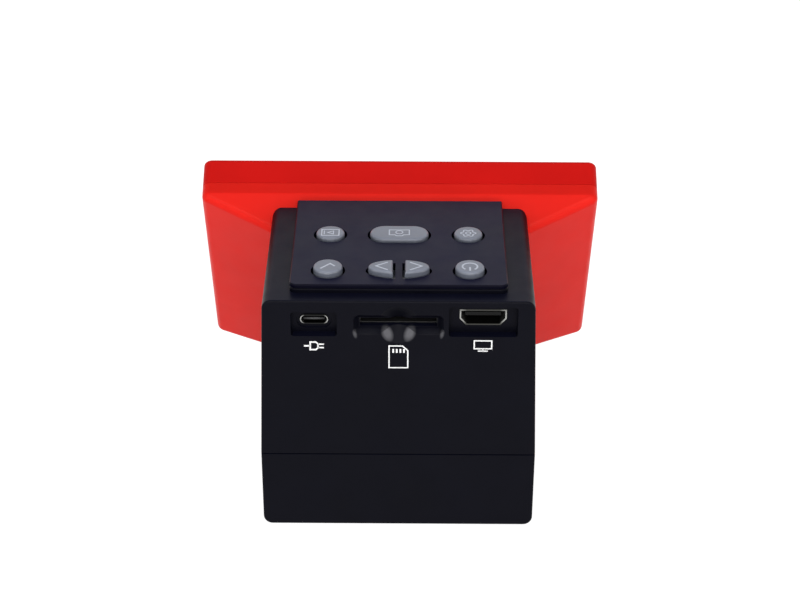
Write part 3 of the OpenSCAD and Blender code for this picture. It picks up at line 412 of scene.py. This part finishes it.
COVER = cover()
LENS = glass("lens_glass", (0.86, 0.9, 0.98), 0.02)
SENSOR = moulded("sensor_glass", (0.03, 0.04, 0.07), 0.12, vary=0.2)
PANEL = moulded("display_panel", (0.02, 0.022, 0.026), 0.25)
RIBBON = ribbon()
RUBBER = rubber()
KEY_INK = print_ink("key_print", (0.62, 0.66, 0.76))
WHITE_INK = print_ink("white_print", (0.86, 0.86, 0.86))
GOLD = metal("contact_gold", (0.8, 0.55, 0.2), 0.25)

FINISH = {
    "upper_shell": SHELL, "lower_shell": SHELL, "key_frame": SHELL,
    "socket_frame": SHELL, "key_plate": PLATE,
    "screen_rear_shell": RED, "screen_bezel": SHADED_FRAME_RED, "cover_glass": COVER,
    "display_panel": PANEL, "display_tray": STEEL, "display_board": GREEN_BOARD,
    "display_ribbon": RIBBON, "key_ribbon": RIBBON, "camera_ribbon": RIBBON,
    "key_board": GREEN_BOARD, "key_switches": BLACK, "main_board": GREEN_BOARD,
    "main_chips": BLACK, "usb_socket": SMALL_SHELL, "usb_tongue": SMALL_TONGUE,
    "hdmi_socket": VIDEO_SHELL, "hdmi_tongue": TONGUE, "card_socket": BLACK,
    "card_socket_cover": STEEL, "lens_tower": BLACK, "lens_holder": BLACK,
    "lens_barrel": BARREL, "lens_elements": LENS, "image_sensor": SENSOR,
    "camera_board": GREEN_BOARD, "film_insert": INSERT, "light_box": WHITE,
    "backlight_board": WHITE_BOARD, "backlight_leds": LED, "diffuser": DIFFUSER,
    "feet": RUBBER, "body_screws": SCREW, "screen_screws": SCREW,
    "board_screws": SCREW, "tower_screws": SCREW,
}
for name, obj in nodes.items():
    finish = FINISH.get(name) or (KEY if name.endswith("_key") else PLUNGER)
    obj.data.materials.clear()
    obj.data.materials.append(finish.mat)


# ---- printed marks: thin flat strokes laid on a surface ----

# Heights above and below the surface, and the usual line, in mm
MARK_PROUD = 0.035
MARK_SUNK = 0.02
THIN = 0.42


class Mark:
    """Strokes and filled shapes, drawn in mm in a flat frame, as one thin mesh."""

    def __init__(self, name):
        self.name = name
        self.bm = bmesh.new()

    def fill(self, points):
        verts = [self.bm.verts.new((x, y, 0)) for x, y in points]
        self.bm.faces.new(verts)
        return self

    def stroke(self, points, width, closed=False):
        pts = [Vector((x, y)) for x, y in points]
        n = len(pts)
        left, right = [], []
        for i, p in enumerate(pts):
            before = pts[i - 1] if closed or i > 0 else None
            after = pts[(i + 1) % n] if closed or i < n - 1 else None
            a = (p - before).normalized() if before is not None else (after - p).normalized()
            b = (after - p).normalized() if after is not None else a
            na, nb = Vector((-a.y, a.x)), Vector((-b.y, b.x))
            out = (na + nb).normalized()
            out *= width / 2 / max(0.35, out.dot(na))
            left.append(self.bm.verts.new((*(p + out), 0)))
            right.append(self.bm.verts.new((*(p - out), 0)))
        for i in range(n if closed else n - 1):
            j = (i + 1) % n
            self.bm.faces.new((left[i], right[i], right[j], left[j]))
        return self

    def arc(self, centre, radius, start, end, width, steps=40):
        full = abs(end - start) >= 360
        count = steps if full else steps + 1
        points = []
        for i in range(count):
            t = math.radians(start + (end - start) * i / steps)
            points.append((centre[0] + radius * math.cos(t), centre[1] + radius * math.sin(t)))
        return self.stroke(points, width, closed=full)

    def lay(self, body, origin, right, up, material, slot):
        """Places the drawing at origin (m) with its x along right and y along up."""
        bmesh.ops.recalc_face_normals(self.bm, faces=self.bm.faces)
        if self.bm.faces and sum(f.normal.z for f in self.bm.faces) < 0:
            bmesh.ops.reverse_faces(self.bm, faces=self.bm.faces)
        grown = bmesh.ops.extrude_face_region(self.bm, geom=self.bm.faces[:])
        moved = [v for v in grown["geom"] if isinstance(v, bmesh.types.BMVert)]
        bmesh.ops.translate(self.bm, vec=(0, 0, MARK_PROUD + MARK_SUNK), verts=moved)
        bmesh.ops.recalc_face_normals(self.bm, faces=self.bm.faces)
        mesh = bpy.data.meshes.new(self.name)
        self.bm.to_mesh(mesh)
        self.bm.free()
        mesh.materials.append(material.mat)
        obj = bpy.data.objects.new(self.name, mesh)
        bpy.context.scene.collection.objects.link(obj)
        x, y = Vector(right).normalized(), Vector(up).normalized()
        z = x.cross(y)
        turn = Matrix((x, y, z)).transposed().to_4x4()
        place = Vector(origin) - z * MARK_SUNK * MM
        obj.data.transform(Matrix.Translation(place) @ turn @ Matrix.Scale(MM, 4))
        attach(obj, body)
        return obj


def on_key(mark, key, dx=0.0, dy=0.0):
    low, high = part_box(key + "_key")
    centre = (low + high) / 2
    top = Vector((centre.x + dx * MM, centre.y + dy * MM, high.z))
    mark.lay(key + "_button", top, (1, 0, 0), (0, 1, 0), KEY_INK, "key_plastic")


def box_points(w, h, cut=0.0):
    x, y = w / 2, h / 2
    if not cut:
        return [(-x, -y), (x, -y), (x, y), (-x, y)]
    return [(-x, -y), (x, -y), (x, y - cut), (x - cut, y), (-x, y)]


# Playback: a frame with a side bar and a small play triangle
play = Mark("playback_mark")
play.stroke(box_points(5.7, 4.3), THIN, closed=True)
play.fill([(1.85, -1.35), (2.2, -1.35), (2.2, 1.35), (1.85, 1.35)])
play.stroke([(-1.0, -1.15), (0.9, 0.0), (-1.0, 1.15)], 0.36, closed=True)
on_key(play, "playback", dy=0.7)

# Capture: a camera between two short bars
shot = Mark("capture_mark")
shot.stroke([(-3.3, -2.0), (3.3, -2.0), (3.3, 1.5), (1.5, 1.5), (0.9, 2.3), (-0.9, 2.3),
             (-1.5, 1.5), (-3.3, 1.5)], THIN, closed=True)
shot.arc((0, -0.3), 1.15, 0, 360, 0.4, 32)
on_key(shot, "capture", dy=0.6)

# Settings: a six-lobed gear round a ring
gear = Mark("settings_mark")
lobes = []
for i in range(72):
    t = math.radians(i * 5)
    lobe = 2.15 + 0.38 * math.cos(6 * t)
    lobes.append((lobe * math.cos(t), lobe * math.sin(t)))
gear.stroke(lobes, 0.4, closed=True)
gear.arc((0, 0), 0.85, 0, 360, 0.4, 28)
on_key(gear, "settings", dy=0.7)

# Confirm: a tick
tick = Mark("confirm_mark")
tick.stroke([(-2.2, 0.1), (-0.7, -1.6), (2.3, 1.8)], 0.6)
on_key(tick, "confirm", dy=0.5)

# Arrows: chevrons that point away from each other
for side, key in ((1, "right"), (-1, "left")):
    chevron = Mark(key + "_mark")
    chevron.stroke([(-1.9 * side, 2.6), (1.9 * side, 0), (-1.9 * side, -2.6)], 0.5)
    on_key(chevron, key, dx=-0.4 * side, dy=0.4)

# Power: an open ring with a bar in its gap
power = Mark("power_mark")
power.arc((0, 0), 2.4, 90 + 38, 90 + 322, 0.6)
power.stroke([(0, 0.4), (0, 2.9)], 0.6)
on_key(power, "power", dy=0.5)


def on_rear(mark, x, z):
    """Rear face marks read from behind the object, so their right is -X."""
    mark.lay("scanner", (x * MM, REAR_Y, z * MM), (-1, 0, 0), (0, 0, 1), WHITE_INK, "plate_plastic")


PLUG_MARK_Z = 69.2
CARD_MARK_Z = 65.3
SCREEN_MARK_Z = 69.9

# Under the small socket: a plug with two pins; middle: a card with a cut corner;
# right: a screen on its stand
plug = Mark("plug_mark")
plug.stroke([(-3.2, 0), (-1.2, 0)], 0.55)
plug.stroke([(-1.2, -1.4), (0.6, -1.4), (1.3, -0.7), (1.3, 0.7), (0.6, 1.4), (-1.2, 1.4)],
            0.5, closed=True)
plug.stroke([(1.3, 0.62), (3.2, 0.62)], 0.5)
plug.stroke([(1.3, -0.62), (3.2, -0.62)], 0.5)
on_rear(plug, SMALL_MID.x, PLUG_MARK_Z)

card = Mark("card_mark")
card.stroke(box_points(6.0, 8.0, 1.7), THIN, closed=True)
PAD_PITCH = 1.15
for i in range(4):
    pad_left, pad_right = -1.95 + PAD_PITCH * i, -1.4 + PAD_PITCH * i
    card.fill([(pad_left, 1.5), (pad_right, 1.5), (pad_right, 2.9), (pad_left, 2.9)])
on_rear(card, 0.0, CARD_MARK_Z)

screen = Mark("screen_mark")
screen.stroke(box_points(5.6, 2.9), THIN, closed=True)
screen.stroke([(-1.6, -2.3), (1.6, -2.3)], THIN)
screen.stroke([(0, -1.5), (0, -2.3)], THIN)
on_rear(screen, VIDEO_MID.x, SCREEN_MARK_Z)


# ---- camera at the photograph's angle ----

PHOTO_W_PX = 800
SENSOR_W = 36.0
FOCAL_PX = 2244.7
TILT = math.radians(28.5)
DISTANCE = 709.2 * MM
ROLL = 0.0054
YAW = 0.0034
TARGET_X = -2.86 * MM
TARGET_Z = 86.02 * MM


def photo_camera():
    target = Vector((TARGET_X, REAR_Y, TARGET_Z))
    back = Vector((0, math.cos(TILT), math.sin(TILT)))
    right = Vector((-1, 0, 0))
    up = back.cross(right)
    place = target + back * DISTANCE
    swing = Matrix.Rotation(YAW, 3, up)
    back, right = swing @ back, swing @ right
    cam_right = right * math.cos(ROLL) + up * math.sin(ROLL)
    cam_up = up * math.cos(ROLL) - right * math.sin(ROLL)
    camera = bpy.data.objects.new("camera", bpy.data.cameras.new("camera"))
    bpy.context.scene.collection.objects.link(camera)
    camera.data.sensor_width = SENSOR_W
    camera.data.lens = FOCAL_PX / PHOTO_W_PX * SENSOR_W
    camera.data.clip_start = 0.01
    camera.data.clip_end = 50
    turn = Matrix((cam_right, cam_up, back)).transposed().to_4x4()
    camera.matrix_world = Matrix.Translation(place) @ turn
    return camera


bpy.context.scene.camera = photo_camera()


# ---- floor, world and lamps ----

# Light on the object, and what the camera sees of the floor: paper plus a glow
AMBIENT = 0.25
FULL_WHITE = 1.0
PAPER = 0.8
SEEN_PAPER = 0.4
SEEN_GLOW = 0.9
FLOOR_HALF = 6
LAMP_AIM = Vector((0, 0, 0.05))


def show_white(tree, base, white):
    """Seen straight, in gloss or through glass: white. For other rays: base."""
    path = tree.nodes.new("ShaderNodeLightPath")
    total = path.outputs["Is Camera Ray"]
    for ray in ("Is Glossy Ray", "Is Transmission Ray"):
        add = tree.nodes.new("ShaderNodeMath")
        add.operation = "MAXIMUM"
        tree.links.new(total, add.inputs[0])
        tree.links.new(path.outputs[ray], add.inputs[1])
        total = add.outputs[0]
    mix = tree.nodes.new("ShaderNodeMixShader")
    tree.links.new(total, mix.inputs[0])
    tree.links.new(base, mix.inputs[1])
    tree.links.new(white, mix.inputs[2])
    return mix.outputs[0]


def studio_world():
    world = bpy.data.worlds.new("studio")
    world.use_nodes = True
    tree = world.node_tree
    tree.nodes.clear()
    ambient = tree.nodes.new("ShaderNodeBackground")
    ambient.inputs["Color"].default_value = (1, 1, 1, 1)
    ambient.inputs["Strength"].default_value = AMBIENT
    white = tree.nodes.new("ShaderNodeBackground")
    white.inputs["Color"].default_value = (1, 1, 1, 1)
    white.inputs["Strength"].default_value = FULL_WHITE
    out = tree.nodes.new("ShaderNodeOutputWorld")
    shown = show_white(tree, ambient.outputs[0], white.outputs[0])
    tree.links.new(shown, out.inputs["Surface"])
    return world


def floor_paper():
    mat = bpy.data.materials.new("floor_paper")
    mat.use_nodes = True
    tree = mat.node_tree
    tree.nodes.clear()
    paper = tree.nodes.new("ShaderNodeBsdfDiffuse")
    paper.inputs["Color"].default_value = (PAPER, PAPER, PAPER, 1)
    shaded = tree.nodes.new("ShaderNodeBsdfDiffuse")
    shaded.inputs["Color"].default_value = (SEEN_PAPER, SEEN_PAPER, SEEN_PAPER, 1)
    glow = tree.nodes.new("ShaderNodeEmission")
    glow.inputs["Strength"].default_value = SEEN_GLOW
    lit = tree.nodes.new("ShaderNodeAddShader")
    tree.links.new(shaded.outputs[0], lit.inputs[0])
    tree.links.new(glow.outputs[0], lit.inputs[1])
    out = tree.nodes.new("ShaderNodeOutputMaterial")
    shown = show_white(tree, paper.outputs[0], lit.outputs[0])
    tree.links.new(shown, out.inputs["Surface"])
    return mat


def floor():
    bm = bmesh.new()
    bmesh.ops.create_grid(bm, x_segments=8, y_segments=8, size=FLOOR_HALF)
    mesh = bpy.data.meshes.new("floor")
    bm.to_mesh(mesh)
    bm.free()
    mesh.materials.append(floor_paper())
    obj = bpy.data.objects.new("floor", mesh)
    bpy.context.scene.collection.objects.link(obj)


def lamp(name, place, size, watts):
    data = bpy.data.lights.new(name, "AREA")
    data.shape = "RECTANGLE"
    data.size, data.size_y = size
    data.energy = watts
    obj = bpy.data.objects.new(name, data)
    bpy.context.scene.collection.objects.link(obj)
    obj.location = place
    aim = LAMP_AIM - Vector(place)
    obj.rotation_mode = "QUATERNION"
    obj.rotation_quaternion = aim.to_track_quat("-Z", "Y")
    return obj


bpy.context.scene.world = studio_world()
floor()
lamp("key_softbox", (0.0, 0.72, 0.68), (1.0, 0.6), 4.1)
lamp("low_softbox", (0.0, 1.05, 0.14), (1.0, 0.24), 3.9)
lamp("left_softbox", (0.8, 0.5, 0.3), (0.5, 0.6), 2.0)
lamp("right_softbox", (-0.8, 0.5, 0.3), (0.5, 0.6), 2.0)
# Lights the screen's side without a second reflection on the black shell
fill = lamp("fill_softbox", (0.0, -0.9, 0.5), (1.2, 0.6), 2.2)
fill.visible_glossy = False

bpy.context.scene.view_settings.view_transform = "Standard"
